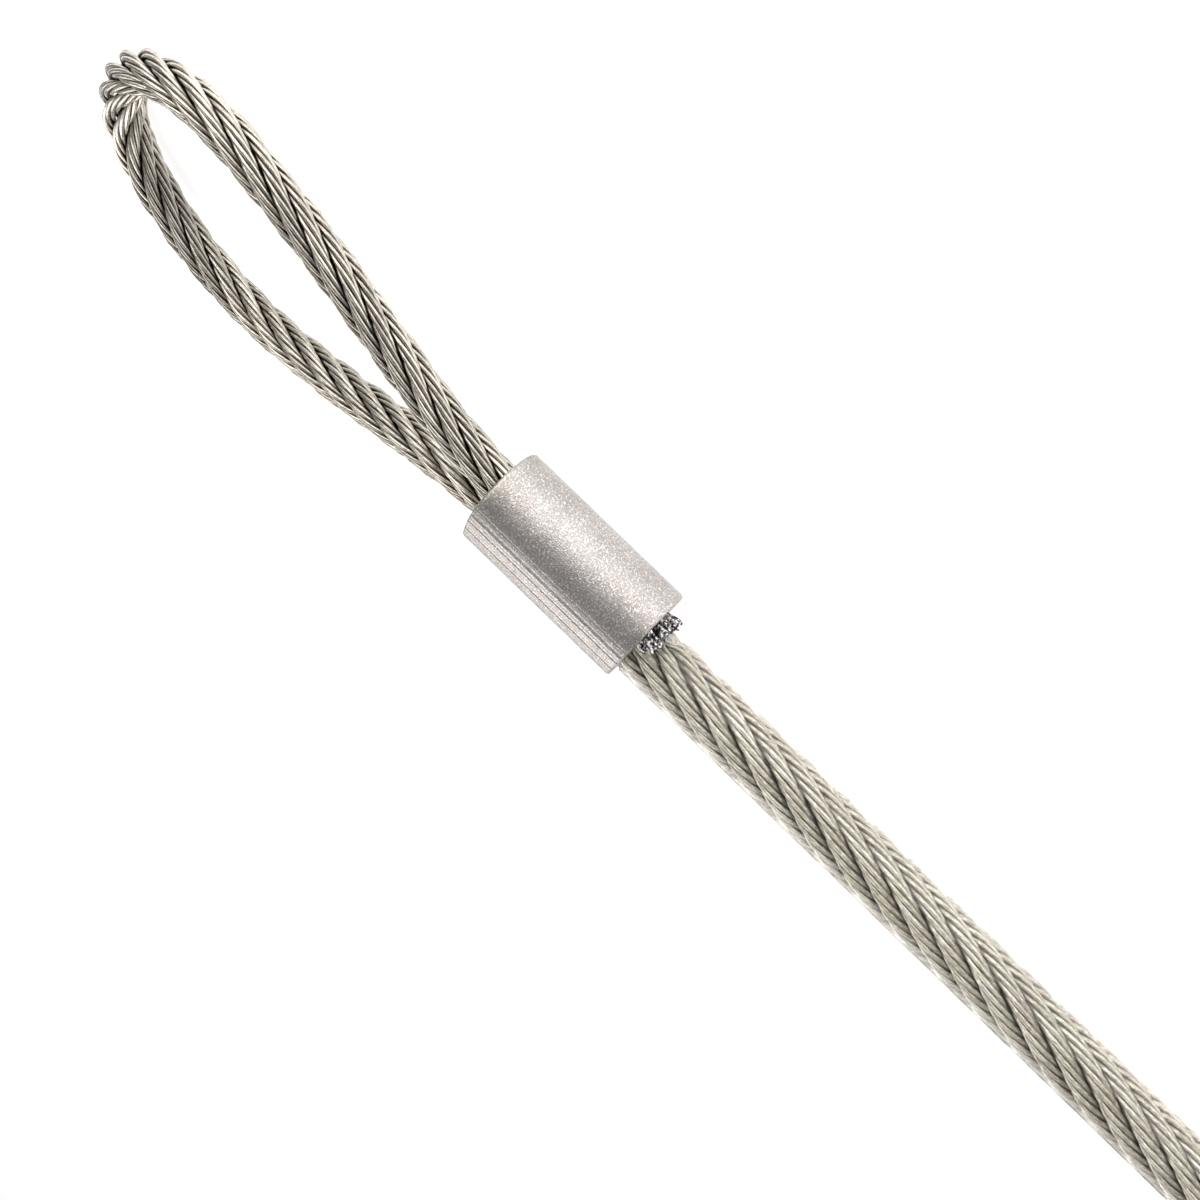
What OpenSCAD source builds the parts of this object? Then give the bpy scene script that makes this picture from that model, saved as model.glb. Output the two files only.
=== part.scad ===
// Eye-and-eye wire rope sling, lying flat. The rope runs along X, up is +Z, and the
// origin is on the surface below the middle of the sling.
// The bare 7 x 7 rope leaves each ferrule as a soft eye and comes back as a dead end.
// End B is end A turned half a turn about Z, so the right-hand lay stays right-hand.

/* [Rope] */
// Diameter of the bare 7 x 7 rope
rope_d = 4; // [3:0.5:5]
// Length of one full turn of a strand round the rope
lay = 27.5; // [22:0.5:32]
// Diameter of one six-sided strand
strand_d = 1.24; // [0.9:0.01:1.25]
// Diameter of the straight core strand
core_d = 1.3; // [0.9:0.01:1.3]

/* [Jacket] */
// Outer diameter of the clear jacket
jacket_d = 6; // [5.5:0.5:8]
// Clearance between the rope and the jacket's bore
jacket_clear = 0.05; // [0.02:0.01:0.2]

/* [Ferrule] */
// Length of the pressed ferrule
ferrule_len = 18; // [12:1:24]
// Height of the ferrule, between its two flats
ferrule_h = 8.8; // [8.6:0.2:11]
// Width of the ferrule, across both ropes
ferrule_w = 10.8; // [10.4:0.2:14]
// Distance between the two ropes inside the ferrule
rope_pitch = 4.3; // [4.2:0.1:4.6]
// Clearance between a rope and its bore in the ferrule
bore_clear = 0.05; // [0.02:0.01:0.1]
// How far the cut dead end stands out of the ferrule
tail_out = 1.5; // [0.5:0.1:3]

/* [Sling] */
// Overall length, from crown to crown
sling_len = 300; // [260:10:900]
// Half of the gap left for the bend at the middle of the span
bend_gap = 1.4; // [1.2:0.1:3]
// Gap left for the flex between a ferrule's mouth and its eye
eye_gap = 1.6; // [1.4:0.1:3]
// How far the crown of the eye leans away from the dead end's side
eye_lean = 2; // [0:0.5:4]

/* [Hidden] */
$fn = 64;

// The eye's centre line, in the frame of the ferrule's mouth. Each row: distance out of
// the mouth, distance of the dead end's leg and of the live leg from the eye's own axis,
// and height above the surface.
eye_legs = [
    [0, 2.15, 2.15, 4.4], [7, 3.6, 3.6, 4.3], [14, 6.3, 6.3, 4.0], [21, 9.1, 9.1, 3.6],
    [28, 11.3, 11.3, 3.2], [35, 12.5, 12.3, 2.7], [41, 12.1, 11.0, 2.4],
    [46, 9.4, 7.5, 2.2], [48.7, 5.3, 3.3, 2.1]
];
eye_crown = [49.5, 1.0, 2.1];
eye_len = eye_crown.x + rope_d / 2;

rope_r = rope_d / 2;
strand_r = strand_d / 2;
strand_circle = rope_r - strand_r;
lay_stretch = sqrt(1 + pow(2 * PI * strand_circle / lay, 2));
rope_z = ferrule_h / 2;
mouth_x = -(sling_len / 2 - eye_len);
ferrule_end_x = mouth_x + ferrule_len;
tail_y = rope_pitch;
axis_y = rope_pitch / 2;
ring_step = 2.5;
core_step = 4;
strand_sides = 6;
route_steps = 8;
heading_reach = 0.6; // half of the stretch that a direction along the rope is read from
guide_reach = 7; // how far into the ferrule the curve of the eye is steadied
slot_h = 1.4; // height of the slot between the two bores
notch_clear = 0.12; // clearance round the dead end in the jacket's notch
notch_past = 1.3; // how far the notch runs on past the dead end
over = 1; // how far a cut runs past the face it cuts

// The whole route of half the sling: in at the dead end, round the eye, back through
// the ferrule and along the span to its middle.
function on_eye(out, across, height) =
    [mouth_x - out, axis_y + across - eye_lean * out / eye_crown.x, height];
last = len(eye_legs) - 1;
eye_route = concat(
    [for (p = eye_legs) on_eye(p[0], p[1], p[3])],
    [on_eye(eye_crown.x, eye_crown.y, eye_crown.z)],
    [for (i = [last:-1:0]) on_eye(eye_legs[i][0], -eye_legs[i][2], eye_legs[i][3])]
);
lead_in = [mouth_x + guide_reach, tail_y, rope_z];
lead_out = [mouth_x + guide_reach, 0, rope_z];

// A smooth curve through the points, between p[1] and p[2] at t from 0 to 1
function smooth(p, t) = 0.5 * (
    2 * p[1] + (p[2] - p[0]) * t
    + (2 * p[0] - 5 * p[1] + 4 * p[2] - p[3]) * t * t
    + (3 * p[1] - p[0] - 3 * p[2] + p[3]) * t * t * t
);
guide = concat([lead_in], eye_route, [lead_out]);
eye_line = [
    for (i = [0:len(guide) - 4], k = [0:route_steps - 1])
        smooth([for (j = [0:3]) guide[i + j]], k / route_steps)
];
half_line = concat(
    [[ferrule_end_x + tail_out, tail_y, rope_z]],
    eye_line,
    [[mouth_x, 0, rope_z], [0, 0, rope_z]]
);

// Distance along the rope at each point of the route, counted from the dead end
distances = [
    for (
        i = 0, s = 0;
        i < len(half_line);
        i = i + 1, s = i < len(half_line) ? s + norm(half_line[i] - half_line[i - 1]) : s
    ) s
];
route_table = [
    for (axis = [0:2]) [for (i = [0:len(half_line) - 1]) [distances[i], half_line[i][axis]]]
];
half_length = distances[len(distances) - 1];
eye_start = tail_out + ferrule_len;
eye_end = half_length + mouth_x;

function at(s) = [for (axis = [0:2]) lookup(s, route_table[axis])];
function unit(v) = v / norm(v);
function heading(s) = unit(at(s + heading_reach) - at(s - heading_reach));

// One ring of a strand, square to the rope's axis. The strand winds to the right.
function ring(s, circle, r, turn) =
    let (
        t = s <= eye_start ? [-1, 0, 0] : s >= eye_end ? [1, 0, 0] : heading(s),
        side = unit(cross([0, 0, 1], t)),
        up = cross(t, side),
        angle = 360 * (s - half_length) / lay + turn,
        out = cos(angle) * side + sin(angle) * up,
        around = cos(angle) * up - sin(angle) * side,
        stretch = circle > 0 ? lay_stretch : 1
    )
    [
        for (j = [0:strand_sides - 1])
            let (a = 360 * j / strand_sides)
            at(s) + (circle + r * cos(a)) * out + r * stretch * sin(a) * around
    ];

function tube_faces(rings, n, first) = concat(
    [for (j = [1:n - 2]) [first, first + j, first + j + 1]],
    [
        for (i = [0:rings - 2], j = [0:n - 1])
            let (a = first + i * n + j, b = first + i * n + (j + 1) % n)
            each [[a, a + n, b + n], [a, b + n, b]]
    ],
    [
        for (j = [1:n - 2])
            let (end = first + (rings - 1) * n)
            [end, end + j + 1, end + j]
    ]
);

// The strands of one stretch of rope, each a closed tube: [circle, radius, turn]
module strands(from, to, members, step) {
    count = max(2, ceil((to - from) / step) + 1);
    points = [
        for (m = members, i = [0:count - 1])
            each ring(from + (to - from) * i / (count - 1), m[0], m[1], m[2])
    ];
    faces = [
        for (k = [0:len(members) - 1])
            each tube_faces(count, strand_sides, k * count * strand_sides)
    ];
    polyhedron(points = points, faces = faces, convexity = 10);
}

core_member = [0, core_d / 2, 0];
function outer_member(number) = [strand_circle, strand_r, 60 * (number - 1)];

// Places a piece of end A, or the same piece of end B
module at_end(b) {
    rotate([0, 0, b ? 180 : 0]) children();
}

module ferrule(b) {
    color("#beb6b2")
        at_end(b)
            translate([mouth_x, axis_y, rope_z])
                rotate([90, 0, 90])
                    difference() {
                        linear_extrude(ferrule_len) ferrule_outline();
                        for (side = [-1, 1])
                            translate([side * rope_pitch / 2, 0, -over])
                                cylinder(h = ferrule_len + 2 * over, r = rope_r + bore_clear);
                        translate([-rope_pitch / 2, -slot_h / 2, -over])
                            cube([rope_pitch, slot_h, ferrule_len + 2 * over]);
                    }
}

// Two half rounds joined by narrow flats, as the press leaves the sleeve
module ferrule_outline() {
    flat = ferrule_w - ferrule_h;
    square([flat, ferrule_h], center = true);
    for (side = [-1, 1])
        translate([side * flat / 2, 0]) circle(d = ferrule_h);
}

// The clear sleeve over half the span, notched where the cut dead end lies against it
module jacket(b) {
    color("#d8d2c2", 0.5)
        at_end(b)
            translate([ferrule_end_x, 0, rope_z])
                rotate([0, 90, 0])
                    difference() {
                        cylinder(h = -ferrule_end_x - bend_gap, d = jacket_d);
                        translate([0, 0, -over])
                            cylinder(h = -ferrule_end_x + 2 * over, r = rope_r + jacket_clear);
                        translate([0, tail_y, -over])
                            cylinder(h = over + tail_out + notch_past, r = rope_r + notch_clear);
                    }
}

// The seven strands of the dead end, held in the ferrule
module tail(b) {
    members = concat([core_member], [for (i = [1:6]) outer_member(i)]);
    color("#8f8b80") at_end(b) strands(0, eye_start, members, ring_step);
}

module span_core(b) {
    color("#7e7a70")
        at_end(b) strands(eye_end, half_length - bend_gap, [core_member], core_step);
}

module span_strand(b, number) {
    color("#a39c8c")
        at_end(b) strands(eye_end, half_length - bend_gap, [outer_member(number)], ring_step);
}

module eye_core(b) {
    color("#7e7a70")
        at_end(b) strands(eye_start + eye_gap, eye_end - eye_gap, [core_member], core_step);
}

module eye_strand(b, number) {
    color("#969187")
        at_end(b)
            strands(eye_start + eye_gap, eye_end - eye_gap, [outer_member(number)], ring_step);
}

ferrule(false);  // ferrule_a
ferrule(true);  // ferrule_b
jacket(false);  // jacket_a
jacket(true);  // jacket_b
tail(false);  // tail_a
tail(true);  // tail_b
span_core(false);  // span_a_core
span_strand(false, 1);  // span_a_strand_1
span_strand(false, 2);  // span_a_strand_2
span_strand(false, 3);  // span_a_strand_3
span_strand(false, 4);  // span_a_strand_4
span_strand(false, 5);  // span_a_strand_5
span_strand(false, 6);  // span_a_strand_6
span_core(true);  // span_b_core
span_strand(true, 1);  // span_b_strand_1
span_strand(true, 2);  // span_b_strand_2
span_strand(true, 3);  // span_b_strand_3
span_strand(true, 4);  // span_b_strand_4
span_strand(true, 5);  // span_b_strand_5
span_strand(true, 6);  // span_b_strand_6
eye_core(false);  // eye_a_core
eye_strand(false, 1);  // eye_a_strand_1
eye_strand(false, 2);  // eye_a_strand_2
eye_strand(false, 3);  // eye_a_strand_3
eye_strand(false, 4);  // eye_a_strand_4
eye_strand(false, 5);  // eye_a_strand_5
eye_strand(false, 6);  // eye_a_strand_6
eye_core(true);  // eye_b_core
eye_strand(true, 1);  // eye_b_strand_1
eye_strand(true, 2);  // eye_b_strand_2
eye_strand(true, 3);  // eye_b_strand_3
eye_strand(true, 4);  // eye_b_strand_4
eye_strand(true, 5);  // eye_b_strand_5
eye_strand(true, 6);  // eye_b_strand_6
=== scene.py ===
import math

import bpy
import numpy as np
from mathutils import Matrix, Vector


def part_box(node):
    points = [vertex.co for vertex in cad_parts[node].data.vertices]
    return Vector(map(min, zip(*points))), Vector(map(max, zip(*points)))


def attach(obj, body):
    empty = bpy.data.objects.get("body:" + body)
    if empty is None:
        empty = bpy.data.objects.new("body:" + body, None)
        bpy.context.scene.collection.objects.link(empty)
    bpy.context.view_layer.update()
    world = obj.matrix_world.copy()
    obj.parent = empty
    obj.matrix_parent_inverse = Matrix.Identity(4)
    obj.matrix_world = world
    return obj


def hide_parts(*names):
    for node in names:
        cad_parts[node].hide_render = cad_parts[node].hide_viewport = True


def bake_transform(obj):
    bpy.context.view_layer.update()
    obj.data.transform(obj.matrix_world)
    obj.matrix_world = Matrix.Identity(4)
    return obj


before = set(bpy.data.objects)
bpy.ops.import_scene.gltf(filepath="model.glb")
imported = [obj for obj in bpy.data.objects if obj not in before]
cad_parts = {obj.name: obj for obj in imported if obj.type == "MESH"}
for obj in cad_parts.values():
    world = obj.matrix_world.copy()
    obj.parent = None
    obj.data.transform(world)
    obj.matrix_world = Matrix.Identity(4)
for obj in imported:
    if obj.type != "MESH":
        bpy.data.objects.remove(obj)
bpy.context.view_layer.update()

random = np.random.default_rng(20)

# ---------------------------------------------------------------------------
# Sizes, in metres. End B is end A turned half a turn about Z.

ferrule_low, ferrule_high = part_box("ferrule_a")
jacket_low, jacket_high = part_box("jacket_a")
tail_low, tail_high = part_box("tail_a")
MOUTH_X = ferrule_low[0]
FERRULE_END_X = ferrule_high[0]
FERRULE_HALF_W = (ferrule_high[1] - ferrule_low[1]) / 2
FERRULE_HALF_H = (ferrule_high[2] - ferrule_low[2]) / 2
AXIS_Y = (ferrule_high[1] + ferrule_low[1]) / 2
ROPE_Z = (ferrule_high[2] + ferrule_low[2]) / 2
TAIL_Y = 2 * AXIS_Y
TAIL_X = tail_high[0]
JACKET_R = (jacket_high[1] - jacket_low[1]) / 2
MID_FERRULE_X = (MOUTH_X + FERRULE_END_X) / 2

# The rope: six strands laid round a core strand, and each strand six wires laid round a
# king wire. A lay is the length of one turn. A circle is the radius on which centre lines lie.
LAY = 0.0275
ROPE_R = 0.002
STRAND_CIRCLE = 0.00136
STRAND_R = 0.00064
CORE_R = 0.00070
WIRE_CIRCLE = 0.000437
WIRE_R = 0.000205
KING_R = 0.00023
WIRE_LAY = 0.0080
CORE_WIRE_LAY = -0.014

# The meshes of the wires. A king wire has a ring at every third place only.
EYE_RING_STEP = 0.00058
SPAN_RING_STEP = 0.0006
WIRE_SIDES = 8
KING_SIDES = 6
KING_STRIDE = 3

# The rope is straight from this far inside a ferrule's mouth
STRAIGHT_FROM = 0.007

JACKET_START = FERRULE_END_X + 0.00003
JACKET_BORE_R = 0.0012
JACKET_SIDES = 96

# The eye's centre line: distance out of the mouth, distance of the dead end's leg and of the
# live leg from the eye's own axis, and height. At the crown, the middle two are one distance.
# The axis leans away from the dead end, by EYE_LEAN at the crown.
EYE_LEGS = [
    (0.0, 0.00215, 0.00215, 0.0044), (0.007, 0.0036, 0.0036, 0.0043),
    (0.014, 0.0063, 0.0063, 0.0040), (0.021, 0.0091, 0.0091, 0.0036),
    (0.028, 0.0113, 0.0113, 0.0032), (0.035, 0.0125, 0.0123, 0.0027),
    (0.041, 0.0121, 0.0110, 0.0024), (0.046, 0.0094, 0.0075, 0.0022),
    (0.0487, 0.0053, 0.0033, 0.0021),
]
EYE_CROWN = (0.0495, 0.0010, 0.0021)
EYE_LEAN = 0.002

STRANDS = ["1", "2", "3", "4", "5", "6", "core"]
# The strand of end B that each strand of end A meets at mid-span
MEETS = {"1": "4", "2": "3", "3": "2", "4": "1", "5": "6", "6": "5", "core": "core"}


# ---------------------------------------------------------------------------
# The camera

def aim_camera():
    """The photo's view, with the camera turned so that the eye is at the top left."""
    azimuth = math.radians(3.4)
    elevation = math.radians(22.35)
    roll = math.radians(-134.7)
    distance = 0.1295
    target = Vector((-0.08566, 0.00088, ROPE_Z))
    level = math.cos(elevation)
    back = Vector((math.sin(azimuth) * level, math.cos(azimuth) * level, math.sin(elevation)))
    right = (-back).cross(Vector((0, 0, 1))).normalized()
    up = right.cross(-back)
    turned_right = math.cos(roll) * right + math.sin(roll) * up
    turned_up = -math.sin(roll) * right + math.cos(roll) * up
    place = Matrix((turned_right, turned_up, back)).transposed().to_4x4()
    place.translation = target + distance * back
    camera = bpy.data.objects.new("camera", bpy.data.cameras.new("camera"))
    camera.data.sensor_width = 36
    camera.data.lens = 44.07
    camera.data.clip_start = 0.005
    camera.data.clip_end = 20
    camera.matrix_world = place
    bpy.context.collection.objects.link(camera)
    bpy.context.scene.camera = camera


# ---------------------------------------------------------------------------
# The route of the rope

def unit(v):
    return v / np.linalg.norm(v, axis=-1, keepdims=True)


def dot(a, b):
    return (a * b).sum(axis=-1, keepdims=True)


def directions(angle, from_side, to_side):
    """Directions at each angle, turning from one side towards another square to it."""
    return np.cos(angle)[:, None] * from_side + np.sin(angle)[:, None] * to_side


def square_to(line, outward):
    """Two directions square to a line at each point, the first as near outward as can be."""
    heading = unit(np.gradient(line, axis=0))
    outward = unit(outward - dot(outward, heading) * heading)
    return outward, np.cross(heading, outward)


def ramp(x):
    """Rises smoothly from 0 to 1 as x goes from 0 to 1."""
    x = np.clip(x, 0, 1)
    return x * x * (3 - 2 * x)


def on_eye(out, across, height):
    """A point of the eye at end A, from its distances out of the mouth and off the axis."""
    y = AXIS_Y + across - EYE_LEAN * out / EYE_CROWN[0]
    return (MOUTH_X - out, y, height)


def smooth_line(points, steps):
    """A smooth curve from the second point to the last but one."""
    points = np.array(points)
    t = (np.arange(steps) / steps)[:, None]
    rows = []
    for a, b, c, d in zip(points, points[1:], points[2:], points[3:]):
        bend = (2 * a - 5 * b + 4 * c - d) * t ** 2
        twist = (3 * b - a - 3 * c + d) * t ** 3
        rows.append(0.5 * (2 * b + (c - a) * t + bend + twist))
    return np.vstack(rows)


def make_route():
    """The rope from its dead end round the eye to the far ferrule, and its distances."""
    guide = [(MOUTH_X + STRAIGHT_FROM, TAIL_Y, ROPE_Z)]
    guide += [on_eye(out, dead, height) for out, dead, live, height in EYE_LEGS]
    guide += [on_eye(*EYE_CROWN)]
    guide += [on_eye(out, -live, height) for out, dead, live, height in reversed(EYE_LEGS)]
    guide += [(MOUTH_X + STRAIGHT_FROM, 0, ROPE_Z)]
    line = np.vstack([
        [(TAIL_X, TAIL_Y, ROPE_Z)],
        smooth_line(guide, steps=24),
        [(MOUTH_X, 0, ROPE_Z), (0, 0, ROPE_Z), (-MOUTH_X, 0, ROPE_Z)],
    ])
    steps = np.linalg.norm(np.diff(line, axis=0), axis=1)
    return line, np.concatenate([[0], np.cumsum(steps)])


# Distances along the rope: mid-span, the mouth on both legs, the crown, and mid-ferrule
ROUTE, ROUTE_S = make_route()
HALF_LENGTH = ROUTE_S[-2]
EYE_START = TAIL_X - MOUTH_X
EYE_END = HALF_LENGTH + MOUTH_X
CROWN_S = (EYE_START + EYE_END) / 2
DEAD_MID_S = TAIL_X - MID_FERRULE_X
LIVE_MID_S = HALF_LENGTH + MID_FERRULE_X


def rope_at(s):
    return np.stack([np.interp(s, ROUTE_S, ROUTE[:, axis]) for axis in range(3)], axis=-1)


def rope_axes(s):
    """The rope's axis at each distance, and the two directions square to it."""
    reach = 0.0006
    heading = unit(rope_at(s + reach) - rope_at(s - reach))
    side = unit(np.cross((0, 0, 1), heading))
    return rope_at(s), side, np.cross(heading, side)


# ---------------------------------------------------------------------------
# Strands and wires

def wander(s, size, wave):
    """A slow seeded drift along the rope, from -size to size."""
    total = np.zeros_like(s)
    for n in range(3):
        total += np.sin(2 * math.pi * s / (wave * (0.6 + 0.5 * n)) + random.uniform(0, 6.3))
    return size * total / 3


def crown_swell(s, out):
    """How far a strand springs out of the rope on the outside of the crown."""
    most, reach = 0.00032, 0.011
    middle = np.array([MOUTH_X - 0.038, AXIS_Y - 0.0007, 0])
    from_middle = rope_at(s) - middle
    from_middle[:, 2] = 0
    outside = np.clip(dot(out, unit(from_middle))[:, 0], 0, 1)
    return most * outside * np.exp(-((s - CROWN_S) / reach) ** 2)


def lay_angle(s, strand):
    """The angle of an outer strand round the rope at each distance."""
    turn = math.radians(60 * (int(strand) - 1))
    return 2 * math.pi * (s - HALF_LENGTH) / LAY + turn


def strand_line(s, strand):
    """The centre line of a strand, and the direction out of the rope at each point."""
    centre, side, up = rope_axes(s)
    if strand == "core":
        return centre, side
    angle = lay_angle(s, strand) + wander(s, size=0.035, wave=0.021)
    out = directions(angle, side, up)
    drift = wander(s, size=0.000025, wave=0.013)
    circle = STRAND_CIRCLE + drift + crown_swell(s, out)
    return centre + circle[:, None] * out, out


def wire_lines(line, out, s, circle, wire_lay):
    """The centre lines of the six wires laid round the king wire of a strand."""
    out, across = square_to(line, out)
    start = random.uniform(0, 2 * math.pi)
    lines = []
    for number in range(6):
        angle = start + math.radians(60 * number) - 2 * math.pi * s / wire_lay
        angle = angle + wander(s, size=0.05, wave=0.009)
        away = directions(angle, out, across)
        lines.append((line + circle * away, away))
    return lines


def even_angles(count):
    return 2 * math.pi * np.arange(count) / count


def tube_rings(line, outward, radius, sides):
    """Rings of points round a wire, one ring for each point of its line."""
    outward, across = square_to(line, outward)
    angle = even_angles(sides)
    radius = np.broadcast_to(radius, len(line))[:, None, None]
    ring = np.cos(angle)[None, :, None] * outward[:, None]
    ring = ring + np.sin(angle)[None, :, None] * across[:, None]
    return line[:, None] + radius * ring


def grain_place(s, radius, sides, tone):
    """Where each point lies on its wire, in millimetres but much drawn out along it."""
    across, along, wires_apart = 1000, 120, 40
    angle = even_angles(sides)
    size = np.broadcast_to(radius, len(s))[:, None] * across
    place = np.empty((len(s), sides, 3))
    place[..., 0] = s[:, None] * along + tone * wires_apart
    place[..., 1] = size * np.cos(angle)
    place[..., 2] = size * np.sin(angle)
    return place.reshape(-1, 3)


class Wires:
    """Round wires gathered into one mesh, with what their material reads.

    The gap mask goes from 0 on the outside of the rope and of each strand to 1 deep between
    them, and paints shade there, with some oil grime. grain is a place on the wire, for streaks
    along it.
    """

    def __init__(self):
        self.points = []
        self.quads = []
        self.caps = []
        self.tone = []
        self.gap = []
        self.grain = []
        self.count = 0

    def add(self, line, outward, radius, sides, s, axis, strand):
        """Adds a wire. axis and strand are the centre lines of its rope and its strand."""
        rings = tube_rings(line, outward, radius, sides)
        rows = len(line)
        index = self.count + np.arange(rows * sides).reshape(rows, sides)
        following = np.roll(index, -1, axis=1)
        quads = [index[:-1], following[:-1], following[1:], index[1:]]
        self.quads.append(np.stack(quads, axis=-1).reshape(-1, 4))
        self.caps.append(index[0][::-1])
        self.caps.append(index[-1])
        self.points.append(rings.reshape(-1, 3))
        in_rope = np.linalg.norm(rings - axis[:, None], axis=-1) / ROPE_R
        in_strand = np.linalg.norm(rings - strand[:, None], axis=-1) / STRAND_R
        # Open from 0.55 to 0.88 of the rope's radius, and from 0.62 to 0.88 of the strand's
        open_rope = ramp((in_rope - 0.55) / 0.33)
        open_strand = ramp((in_strand - 0.62) / 0.26)
        tone = random.uniform(0, 1)
        # The gap mask paints shade, with some oil grime, deep between the strands and wires.
        self.gap.append((1 - open_rope * open_strand).ravel())
        self.tone.append(np.full(rows * sides, tone))
        self.grain.append(grain_place(s, radius, sides, tone))
        self.count += rows * sides

    def turn_to_other_end(self):
        self.points = [half_turn(p) for p in self.points]

    def make(self, name):
        faces = [np.vstack(self.quads)] + [cap[None] for cap in self.caps]
        piece = mesh_piece(name, np.vstack(self.points), faces)
        store(piece, "tone", np.concatenate(self.tone))
        store(piece, "gap", np.concatenate(self.gap))
        grain = piece.data.attributes.new("grain", "FLOAT_VECTOR", "POINT")
        grain.data.foreach_set("vector", np.vstack(self.grain).astype(np.float32).ravel())
        return piece


def mesh_piece(name, points, faces):
    """A mesh object from points and lists of faces, one array for each face size."""
    corners = np.concatenate([f.ravel() for f in faces]).astype(np.int32)
    sizes = np.concatenate([np.full(len(f), f.shape[1]) for f in faces])
    starts = np.concatenate([[0], np.cumsum(sizes)[:-1]]).astype(np.int32)
    mesh = bpy.data.meshes.new(name)
    mesh.vertices.add(len(points))
    mesh.vertices.foreach_set("co", np.asarray(points, np.float32).ravel())
    mesh.loops.add(len(corners))
    mesh.loops.foreach_set("vertex_index", corners)
    mesh.polygons.add(len(starts))
    mesh.polygons.foreach_set("loop_start", starts)
    mesh.update(calc_edges=True)
    mesh.validate()
    mesh.shade_smooth()
    mesh.set_sharp_from_angle(angle=math.radians(55))
    piece = bpy.data.objects.new(name, mesh)
    bpy.context.collection.objects.link(piece)
    return piece


def store(piece, name, values):
    attribute = piece.data.attributes.new(name, "FLOAT", "POINT")
    attribute.data.foreach_set("value", np.asarray(values, np.float32))


def half_turn(points):
    """The same points at the other end of the sling."""
    return points * np.array([-1, -1, 1])


def strand_piece(name, strand, s, other_end):
    """One strand of seven wires between two distances along the rope."""
    line, out = strand_line(s, strand)
    axis = rope_at(s)
    scale = CORE_R / STRAND_R if strand == "core" else 1
    wire_lay = CORE_WIRE_LAY if strand == "core" else WIRE_LAY
    wires = Wires()
    king = slice(None, None, KING_STRIDE)
    wires.add(line[king], out[king], KING_R, KING_SIDES, s[king], axis[king], line[king])
    for wire, away in wire_lines(line, out, s, WIRE_CIRCLE * scale, wire_lay):
        radius = WIRE_R * scale * random.uniform(0.97, 1.02)
        wires.add(wire, away, radius, WIRE_SIDES, s, axis, line)
    if other_end:
        wires.turn_to_other_end()
        line = half_turn(line)
    return wires.make(name), line


def ring_places(start, end, step):
    """Even places of rings, so many that a king wire's last ring is at the end too."""
    count = KING_STRIDE * math.ceil((end - start) / step / KING_STRIDE) + 1
    return np.linspace(start, end, count)


def node_of(strand):
    return "core" if strand == "core" else f"strand_{strand}"


def make_eye(end, other_end):
    """The seven strands of an eye."""
    s = ring_places(DEAD_MID_S, LIVE_MID_S, EYE_RING_STEP)
    pieces = []
    for strand in STRANDS:
        piece, line = strand_piece(f"eye_{end}_wires_{strand}", strand, s, other_end)
        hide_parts(f"eye_{end}_{node_of(strand)}")
        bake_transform(piece)
        pieces.append(piece)
    return pieces


def bend_span(piece):
    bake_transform(piece)


def make_span():
    """The seven strands of the live rope, from inside one ferrule to inside the other."""
    s = ring_places(LIVE_MID_S, HALF_LENGTH - MID_FERRULE_X, SPAN_RING_STEP)
    pieces = []
    for strand in STRANDS:
        piece, line = strand_piece(f"span_wires_{strand}", strand, s, False)
        node_a, node_b = node_of(strand), node_of(MEETS[strand])
        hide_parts(f"span_a_{node_a}", f"span_b_{node_b}")
        bend_span(piece)
        pieces.append(piece)
    return pieces


# ---------------------------------------------------------------------------
# The clear jacket

def notch_radius(angle):
    """How far the jacket may reach in each direction before it meets the dead end."""
    clear = ROPE_R + 0.00012
    across = TAIL_Y * np.sin(angle)
    near = TAIL_Y * np.cos(angle) - np.sqrt(np.clip(clear ** 2 - across ** 2, 0, None))
    meets = (np.abs(across) < clear) & (np.cos(angle) > 0)
    return np.where(meets, np.minimum(near, JACKET_R), JACKET_R)


def jacket_places():
    """Places of the jacket's rings along X, close together at its cut ends."""
    steps = [0, 0.0001, 0.0003, 0.0006, 0.001, 0.0013, 0.0016, 0.0019]
    steps += [0.0022, 0.0025, 0.003, 0.004]
    near = JACKET_START + np.array(steps)
    span = np.linspace(JACKET_START + 0.0055, -JACKET_START - 0.0055, 90)
    return np.concatenate([near, span, -near[::-1]])


def jacket_skin(x, angle):
    """The jacket's outer radius, rounded at its cuts and notched beside both dead ends."""
    rounding, rounded_over, notch_fades_over = 0.00022, 0.0003, 0.0014
    radius = JACKET_R - rounding * (1 - ramp((x - JACKET_START) / rounded_over))
    radius = radius - rounding * (1 - ramp((-JACKET_START - x) / rounded_over))
    radius = np.full(len(angle), radius)
    for sign, shift in ((1, 0), (-1, math.pi)):
        free = ramp((sign * x - TAIL_X) / notch_fades_over)
        notch = notch_radius(angle - shift)
        radius = np.minimum(radius, notch + (JACKET_R - notch) * free)
    return radius


def make_jacket():
    """One clear tube round the live rope. It fills the grooves between the strands."""
    places = jacket_places()
    angle = even_angles(JACKET_SIDES)
    loops = [section(x, jacket_skin(x, angle), angle) for x in places]
    bore = np.full(JACKET_SIDES, JACKET_BORE_R)
    loops += [section(x, bore, angle) for x in places[::-1]]
    piece = closed_grid("clear_jacket", loops)
    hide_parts("jacket_a", "jacket_b")
    bend_span(piece)
    return piece


def section(x, radius, angle, y=0.0):
    """A ring of points square to X, at a distance for each angle from its centre."""
    ring = np.empty((len(angle), 3))
    ring[:, 0] = x
    ring[:, 1] = y + radius * np.cos(angle)
    ring[:, 2] = ROPE_Z + radius * np.sin(angle)
    return ring


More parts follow.
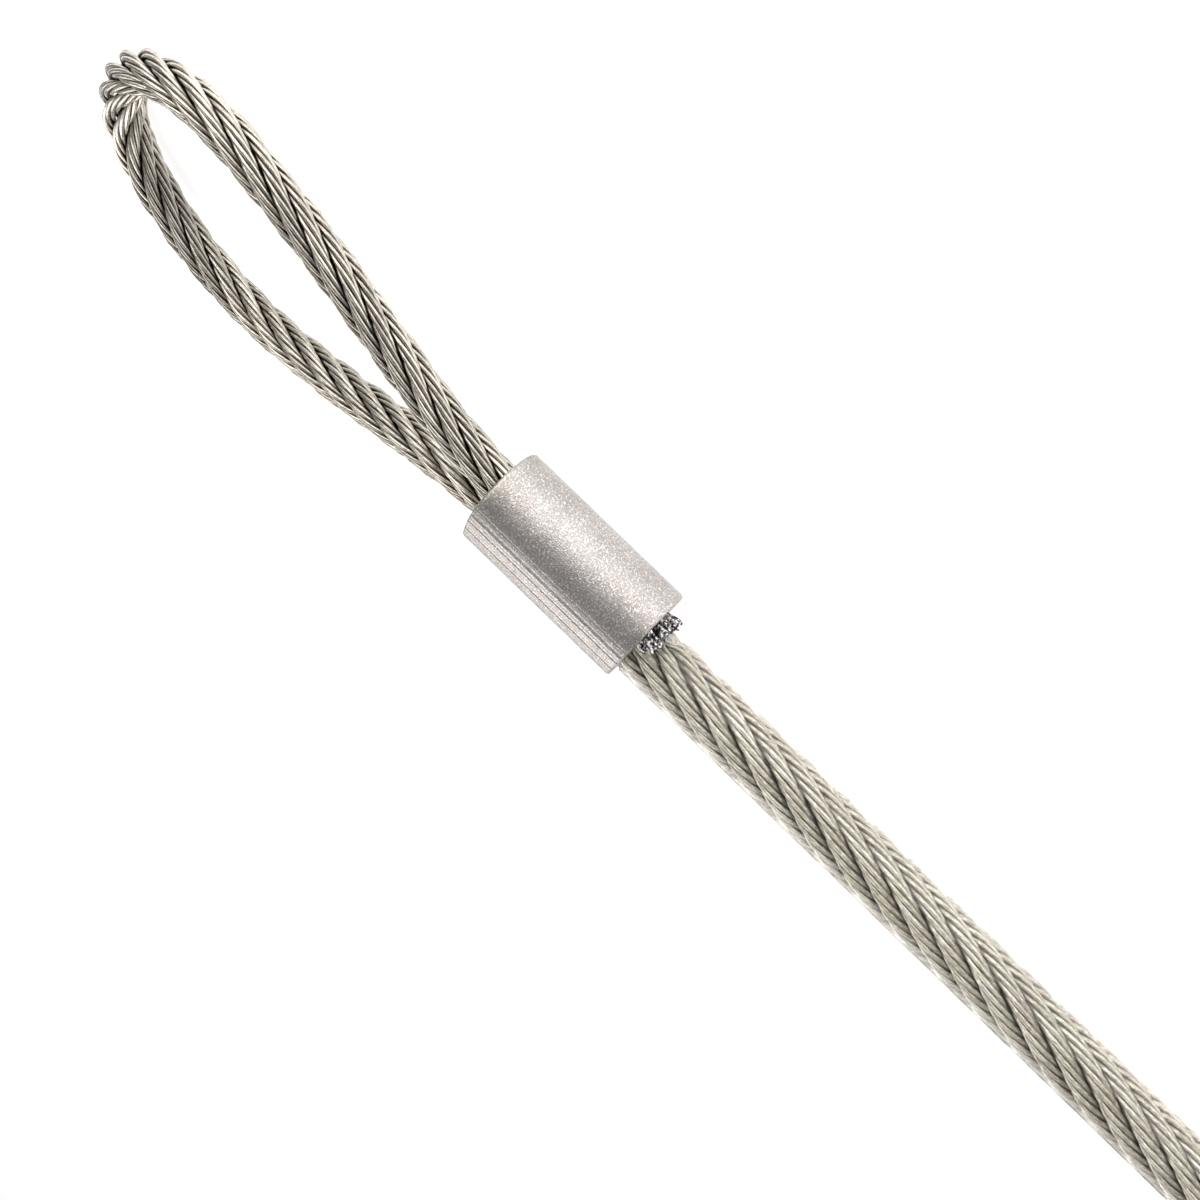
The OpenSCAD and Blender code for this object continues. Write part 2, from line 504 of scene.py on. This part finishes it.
def closed_grid(name, loops):
    """A closed mesh from rings that lead out along the skin and back along the bore."""
    grid = np.stack(loops)
    rows, columns = grid.shape[:2]
    index = np.arange(rows * columns).reshape(rows, columns)
    right = np.roll(index, -1, axis=1)
    below = np.roll(index, -1, axis=0)
    corner = np.roll(right, -1, axis=0)
    quads = np.stack([index, right, corner, below], axis=-1).reshape(-1, 4)
    return mesh_piece(name, grid.reshape(-1, 3), [quads])


# ---------------------------------------------------------------------------
# The cut dead end

# How much wider the crushed wires are, and the king wire's number among a strand's seven
CRUSHED = 1.04
KING = 6


def make_cut_end(end, other_end):
    """Forty-nine cut wires, crowded and crushed where they stand out of the ferrule."""
    wires = Wires()
    for strand in STRANDS:
        lean = random.uniform(-0.00010, 0.00010, 2)
        for number in range(7):
            out_by = random.uniform(0.0007, 0.0016)
            tip = TAIL_X - FERRULE_END_X - out_by
            s = np.concatenate([
                tip + np.linspace(0, 0.0022, 12), np.linspace(tip + 0.003, DEAD_MID_S, 8),
            ])
            line, out = dead_strand(s, strand)
            wire, away = dead_wire(line, out, s, number, strand)
            wire = splay(wire, lean)
            radius = np.full(len(s), WIRE_R * CRUSHED)
            radius[0] *= random.uniform(0.6, 1.0)
            radius[1] *= random.uniform(1.0, 1.25)
            wires.add(wire, away, radius, WIRE_SIDES, s, dead_axis(s), line)
            tilt_cut(wires)
    if other_end:
        wires.turn_to_other_end()
    piece = wires.make(f"cut_end_{end}")
    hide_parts(f"tail_{end}")
    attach(piece, f"end_{end}")
    return piece


def dead_axis(s):
    """The straight axis of the dead end. Distances below 0 are past the end of the route."""
    return np.stack([TAIL_X - s, np.full_like(s, TAIL_Y), np.full_like(s, ROPE_Z)], axis=-1)


def dead_strand(s, strand):
    """The centre line of a strand of the dead end, and the direction out of the rope."""
    side, up = np.array([0, -1.0, 0]), np.array([0, 0, 1.0])
    if strand == "core":
        return dead_axis(s), np.broadcast_to(side, (len(s), 3))
    out = directions(lay_angle(s, strand), side, up)
    return dead_axis(s) + STRAND_CIRCLE * out, out


def dead_wire(line, out, s, number, strand):
    """The centre line of one wire of a strand, and the direction out of the strand."""
    if number == KING:
        return line, out
    out, across = square_to(line, out)
    phase = 0.7 * STRANDS.index(strand)
    angle = phase + math.radians(60 * number) - 2 * math.pi * s / WIRE_LAY
    away = directions(angle, out, across)
    return line + WIRE_CIRCLE * away, away


def splay(wire, lean):
    """Spreads and bends a wire as it comes out of the ferrule."""
    free_from, free_over, kinked_from = -0.0003, 0.0018, 0.0006
    free = ramp((wire[:, 0] - FERRULE_END_X - free_from) / free_over)
    centre = np.array([TAIL_Y, ROPE_Z])
    spread = 0.20 + random.uniform(-0.12, 0.12)
    past_kink = wire[:, :1] > FERRULE_END_X + kinked_from
    kink = random.uniform(-0.00016, 0.00016, 2) * past_kink
    moved = wire.copy()
    moved[:, 1:] += (wire[:, 1:] - centre) * (spread * free)[:, None]
    moved[:, 1:] += (lean + random.uniform(-0.00010, 0.00010, 2)) * free[:, None]
    moved[:, 1:] += kink * free[:, None]
    return moved


def tilt_cut(wires):
    """Leaves the cut face of the last wire slanting, as a cutter does."""
    ring = wires.points[-1][:WIRE_SIDES]
    slope = random.uniform(-0.8, 0.8, 2)
    ring[:, 0] += (ring[:, 1:] - ring[:, 1:].mean(axis=0)) @ slope


# ---------------------------------------------------------------------------
# The ferrules

# The press lines: the angle of each in degrees, its height in metres, and its half width in
# degrees. There are three deep grooves, with finer lines and raised bands between them.
PRESS_LINES = [
    (48.8, -0.00002, 0.6), (57.4, -0.00008, 0.9), (61.0, 0.00003, 1.6),
    (63.6, -0.000025, 0.4), (66.6, 0.00002, 1.2), (70.0, -0.00009, 0.7),
    (73.5, 0.00003, 1.6), (76.5, -0.00002, 0.5), (80.0, -0.000025, 0.5),
    (85.0, -0.000015, 0.5), (88.0, 0.00002, 1.4), (91.4, -0.00009, 0.8),
    (95.0, 0.00002, 1.6),
]


def ferrule_angles():
    """Even steps round the ferrule, with close ones at the press lines."""
    angles = list(np.arange(0, 360, 2.5))
    for turned in (0, 180):
        angles += list(np.arange(46, 100, 0.4) + turned)
    return np.radians(np.unique(np.round(angles, 2)))


def skin_radius(angle, inset):
    """Two half rounds joined by narrow flats, with the raised and sunk press lines."""
    flat = FERRULE_HALF_W - FERRULE_HALF_H
    round_r = FERRULE_HALF_H - inset
    cos, sin = np.abs(np.cos(angle)), np.abs(np.sin(angle))
    on_round = flat * cos + np.sqrt(np.clip(round_r ** 2 - (flat * sin) ** 2, 0, None))
    on_flat = round_r / np.maximum(sin, 1e-6)
    radius = np.where(on_flat * cos < flat, on_flat, on_round)
    for line, height, half_width in PRESS_LINES:
        for turned in (line, line + 180):
            off = (np.degrees(angle) - turned + 180) % 360 - 180
            radius = radius + height * np.exp(-(off / half_width) ** 2)
    return radius


def bore_radius(angle):
    """The two bores and the slot that joins them, seen from between them."""
    bore, slot, slot_end = ROPE_R + 0.00001, 0.0007, 0.0021
    half_pitch = TAIL_Y / 2
    cos, sin = np.abs(np.cos(angle)), np.abs(np.sin(angle))
    under = bore ** 2 - (half_pitch * sin) ** 2
    on_bore = half_pitch * cos + np.sqrt(np.clip(under, 0, None))
    on_slot = slot / np.maximum(sin, 1e-6)
    in_bore = (under > 0) & (on_bore > on_slot)
    return np.where(in_bore, on_bore, np.minimum(on_slot, slot_end))


def edge_profile(length):
    """Places along the ferrule, and how far its rounded edges draw in at each."""
    edge = 0.00035
    turn = np.linspace(0, 1, 6) * math.pi / 2
    xs = edge * (1 - np.cos(turn))
    insets = edge * (1 - np.sin(turn))
    middle = np.linspace(edge, length - edge, 30)[1:-1]
    xs = np.concatenate([xs, middle, (length - xs)[::-1]])
    insets = np.concatenate([insets, np.zeros(len(middle)), insets[::-1]])
    return xs, insets


def make_ferrule(end, other_end):
    """A pressed sleeve with softly broken outer edges and its two bores."""
    angle = ferrule_angles()
    length = FERRULE_END_X - MOUTH_X
    loops = []
    for x, inset in zip(*edge_profile(length)):
        radius = skin_radius(angle, inset)
        loops.append(section(MOUTH_X + x, radius, angle, AXIS_Y))
    bore = bore_radius(angle)
    lip = 0.00015
    for x, wider in ((length, lip), (length - lip, 0), (length / 2, 0), (lip, 0), (0, lip)):
        loops.append(section(MOUTH_X + x, bore + wider, angle, AXIS_Y))
    inwards = np.concatenate([loop[:, 0] for loop in loops]) - MOUTH_X
    if other_end:
        loops = [half_turn(loop) for loop in loops]
    piece = closed_grid(f"pressed_ferrule_{end}", loops)
    store(piece, "from_mouth", inwards / length)
    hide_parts(f"ferrule_{end}")
    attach(piece, f"end_{end}")
    return piece


# ---------------------------------------------------------------------------
# Materials

class Nodes:
    """Short ways to write a material's nodes."""

    def __init__(self, name):
        self.material = bpy.data.materials.new(name)
        self.material.use_nodes = True
        self.tree = self.material.node_tree
        self.shader = self.tree.nodes["Principled BSDF"]

    def node(self, kind, inputs=None, **settings):
        made = self.tree.nodes.new(kind)
        for key, value in settings.items():
            setattr(made, key, value)
        for key, value in (inputs or {}).items():
            self.put(made.inputs[key], value)
        return made

    def put(self, socket, value):
        if isinstance(value, bpy.types.NodeSocket):
            self.tree.links.new(value, socket)
        else:
            socket.default_value = value

    def read(self, name):
        made = self.node("ShaderNodeAttribute", attribute_name=name)
        return made.outputs["Fac"]

    def place(self, scale):
        """Object coordinates, stretched along each axis."""
        where = self.node("ShaderNodeTexCoord").outputs["Object"]
        sized = self.node("ShaderNodeMapping", {"Vector": where, "Scale": scale})
        return sized.outputs["Vector"]

    def noise(self, where, scale, detail, rough=0.5):
        inputs = {"Vector": where, "Scale": scale, "Detail": detail, "Roughness": rough}
        return self.node("ShaderNodeTexNoise", inputs).outputs["Fac"]

    def fit(self, value, low, high, to_low=0.0, to_high=1.0):
        """Maps low to high onto another range, and holds it within that range."""
        inputs = {"Value": value, "From Min": low, "From Max": high}
        inputs.update({"To Min": to_low, "To Max": to_high})
        return self.node("ShaderNodeMapRange", inputs).outputs["Result"]

    def math(self, operation, a, b):
        made = self.node("ShaderNodeMath", {0: a, 1: b}, operation=operation)
        return made.outputs[0]

    def mix(self, amount, a, b):
        """Mixes two colours. The node has several sockets A and B, so these go by number."""
        made = self.node("ShaderNodeMix", data_type="RGBA")
        self.put(made.inputs[0], amount)
        self.put(made.inputs[6], a)
        self.put(made.inputs[7], b)
        return made.outputs[2]

    def bump(self, height, strength, distance):
        inputs = {"Height": height, "Strength": strength, "Distance": distance}
        return self.node("ShaderNodeBump", inputs).outputs["Normal"]


def steel_material(name, bright, dull, gap_colour, metal, rough, contrast):
    """Drawn steel wire: each wire has its own tone and streaks, with painted shade and some oil
    grime in the gaps between.
    """
    m = Nodes(name)
    tone, gap = m.read("tone"), m.read("gap")
    grain = m.node("ShaderNodeAttribute", attribute_name="grain").outputs["Vector"]
    cloud = m.noise(grain, 2.2, 2)
    streak = m.noise(grain, 15, 2, 0.65)
    shade = m.math("ADD", m.math("MULTIPLY", tone, 0.45), m.math("MULTIPLY", cloud, 0.55))
    shade = m.math("ADD", shade, m.fit(streak, 0.32, 0.68, -contrast, contrast))
    colour = m.mix(m.fit(shade, 0.15, 0.85), dull, bright)
    # Painted shade, with some oil grime, darkens the gaps between wires and strands.
    colour = m.mix(m.fit(gap, 0.25, 1.0), colour, gap_colour)
    m.put(m.shader.inputs["Base Color"], colour)
    m.shader.inputs["Metallic"].default_value = metal
    rougher = m.math("ADD", m.math("MULTIPLY", streak, 0.7), m.math("MULTIPLY", gap, 0.4))
    m.put(m.shader.inputs["Roughness"], m.fit(rougher, 0.2, 0.8, rough, rough + 0.2))
    m.put(m.shader.inputs["Normal"], m.bump(streak, 0.6, 0.00003))
    return m.material


def cut_material():
    """Freshly sheared wire ends: bright facets beside dark ones."""
    dark, bright = (0.07, 0.065, 0.07, 1), (0.93, 0.91, 0.90, 1)
    gap_colour = (0.04, 0.04, 0.045, 1)
    m = Nodes("cut_steel_wire")
    facets = m.noise(m.place((1, 1, 1)), 3600, 1)
    colour = m.mix(m.fit(facets, 0.42, 0.58), dark, bright)
    # Painted shade, with some oil grime, darkens the gaps between the cut wires.
    colour = m.mix(m.fit(m.read("gap"), 0.5, 1.0, 0, 0.7), colour, gap_colour)
    m.put(m.shader.inputs["Base Color"], colour)
    m.shader.inputs["Metallic"].default_value = 1.0
    m.put(m.shader.inputs["Roughness"], m.fit(facets, 0.3, 0.7, 0.45, 0.25))
    m.put(m.shader.inputs["Normal"], m.bump(facets, 0.8, 0.00008))
    return m.material


def ferrule_material():
    """Frosted pressed aluminium: sparkling grain and fine scratches, with painted shade that
    darkens it towards the mouth, where its highlight falls off.
    """
    deep, light = (0.44, 0.405, 0.39, 1), (0.55, 0.515, 0.50, 1)
    mouth_shade_colour = (0.40, 0.37, 0.325, 1)
    pit_colour, flake_colour = (0.26, 0.24, 0.235, 1), (0.92, 0.90, 0.87, 1)
    m = Nodes("pressed_aluminium")
    grain = m.noise(m.place((1, 1, 1)), 7800, 2, 0.7)
    flakes = m.noise(m.place((1.3, 1, 1)), 6000, 1)
    cloud = m.noise(m.place((1, 1, 1)), 320, 3)
    drawn = m.noise(m.place((0.05, 1, 1)), 3600, 2)
    nicks = m.noise(m.place((1.0, 0.12, 0.35)), 2400, 1)
    colour = m.mix(m.fit(cloud, 0.3, 0.7), deep, light)
    # Painted shade: the sleeve is darker and warmer towards its mouth, standing in for its
    # highlight falling off there.
    dull = m.math("ADD", m.read("from_mouth"), m.fit(cloud, 0.3, 0.7, -0.12, 0.12))
    colour = m.mix(m.fit(dull, 0.04, 0.34, 0.55, 0), colour, mouth_shade_colour)
    colour = m.mix(m.fit(grain, 0.42, 0.62, 0.65, 0), colour, pit_colour)
    colour = m.mix(m.fit(flakes, 0.54, 0.68, 0, 0.7), colour, flake_colour)
    m.put(m.shader.inputs["Base Color"], colour)
    m.shader.inputs["Metallic"].default_value = 1.0
    m.put(m.shader.inputs["Roughness"], m.fit(grain, 0.3, 0.7, 0.44, 0.32))
    height = m.math("ADD", m.math("MULTIPLY", grain, 0.9), m.math("MULTIPLY", drawn, 0.35))
    height = m.math("SUBTRACT", height, m.fit(nicks, 0.74, 0.79, 0, 0.9))
    m.put(m.shader.inputs["Normal"], m.bump(height, 0.7, 0.00006))
    return m.material


def jacket_material():
    """Clear soft PVC with a faint warm tint and a slightly uneven skin."""
    m = Nodes("clear_pvc")
    m.shader.inputs["Base Color"].default_value = (0.99, 0.975, 0.93, 1)
    m.shader.inputs["Transmission Weight"].default_value = 1.0
    m.shader.inputs["IOR"].default_value = 1.5
    m.shader.inputs["Specular IOR Level"].default_value = 0.9
    skin = m.noise(m.place((0.15, 1, 1)), 900, 2)
    specks = m.noise(m.place((1, 1, 1)), 2400, 2)
    m.put(m.shader.inputs["Roughness"], m.fit(specks, 0.35, 0.75, 0.10, 0.20))
    m.put(m.shader.inputs["Normal"], m.bump(skin, 0.5, 0.00006))
    return m.material


def dress(pieces, material):
    for piece in pieces:
        piece.data.materials.clear()
        piece.data.materials.append(material)


# ---------------------------------------------------------------------------
# Floor and light

def make_floor():
    """A white floor that glows as a light table does, most in a band in front of the sling."""
    size, low = 0.7, -0.0003
    glow_everywhere, glow_in_band = 0.72, 0.8
    corners = [(-size, -size, low), (size, -size, low), (size, size, low), (-size, size, low)]
    mesh = bpy.data.meshes.new("floor")
    mesh.from_pydata(corners, [], [(0, 1, 2, 3)])
    floor = bpy.data.objects.new("floor", mesh)
    bpy.context.collection.objects.link(floor)
    m = Nodes("floor_white")
    m.shader.inputs["Base Color"].default_value = (0.85, 0.85, 0.85, 1)
    m.shader.inputs["Roughness"].default_value = 0.9
    m.shader.inputs["Specular IOR Level"].default_value = 0.0
    m.shader.inputs["Emission Color"].default_value = (1, 1, 1, 1)
    where = m.place((1, 1, 1))
    y = m.node("ShaderNodeSeparateXYZ", {"Vector": where}).outputs["Y"]
    rise, fall = m.fit(y, 0.003, 0.018), m.fit(y, 0.045, 0.1, 1.0, 0.0)
    band = m.math("MULTIPLY", m.math("MULTIPLY", rise, fall), glow_in_band)
    m.put(m.shader.inputs["Emission Strength"], m.math("ADD", band, glow_everywhere))
    mesh.materials.append(m.material)


def soft_light(name, place, target, width, height, power, colour):
    data = bpy.data.lights.new(name, "AREA")
    data.shape = "RECTANGLE"
    data.size = width
    data.size_y = height
    data.energy = power
    data.color = colour
    light = bpy.data.objects.new(name, data)
    light.location = place
    towards = Vector(target) - Vector(place)
    light.rotation_euler = towards.to_track_quat("-Z", "Y").to_euler()
    bpy.context.collection.objects.link(light)


def make_light():
    """Three soft lights, and a backdrop that is white to the camera and grey in reflections."""
    world = bpy.data.worlds.new("studio")
    world.use_nodes = True
    bpy.context.scene.world = world
    tree = world.node_tree
    seen = tree.nodes.new("ShaderNodeLightPath").outputs["Is Camera Ray"]
    shade = tree.nodes.new("ShaderNodeMapRange")
    shade.inputs["To Min"].default_value = 0.36
    shade.inputs["To Max"].default_value = 1.0
    tree.links.new(seen, shade.inputs["Value"])
    tree.links.new(shade.outputs["Result"], tree.nodes["Background"].inputs["Strength"])
    tree.nodes["Background"].inputs["Color"].default_value = (1, 1, 1, 1)
    soft_light(
        "front_strip", place=(-0.26, 0.9, 0.05), target=(-0.26, 0, 0),
        width=2.8, height=0.10, power=3.4, colour=(1.0, 0.96, 0.90),
    )
    soft_light(
        "back_light", place=(-0.06, -0.8, 0.72), target=(-0.06, 0, 0),
        width=1.6, height=0.8, power=9.0, colour=(1.0, 0.98, 0.96),
    )
    soft_light(
        "side_fill", place=(-0.88, 0.83, 0.41), target=(-0.12, 0, 0),
        width=0.9, height=0.5, power=6.0, colour=(1.0, 0.98, 0.95),
    )


# ---------------------------------------------------------------------------
# The scene

aim_camera()
span_wires = make_span()
jacket = make_jacket()
eye_wires = make_eye("a", False) + make_eye("b", True)
cut_ends = [make_cut_end("a", False), make_cut_end("b", True)]
ferrules = [make_ferrule("a", False), make_ferrule("b", True)]

dress(eye_wires, steel_material(
    "bare_steel_wire", bright=(0.72, 0.675, 0.60, 1), dull=(0.30, 0.275, 0.24, 1),
    gap_colour=(0.04, 0.037, 0.032, 1), metal=1.0, rough=0.22, contrast=0.35,
))
# A lighter copy of the bare steel: its paler colours and lower metal are painted light,
# standing in for light that reaches the wires through the clear jacket.
dress(span_wires, steel_material(
    "jacketed_steel_wire_painted_lighter", bright=(1.0, 0.98, 0.91, 1), dull=(0.52, 0.47, 0.39, 1),
    gap_colour=(0.09, 0.085, 0.07, 1), metal=0.5, rough=0.2, contrast=0.75,
))
dress(cut_ends, cut_material())
dress(ferrules, ferrule_material())
dress([jacket], jacket_material())

make_floor()
make_light()
bpy.context.scene.view_settings.view_transform = "Standard"

bpy.context.view_layer.update()
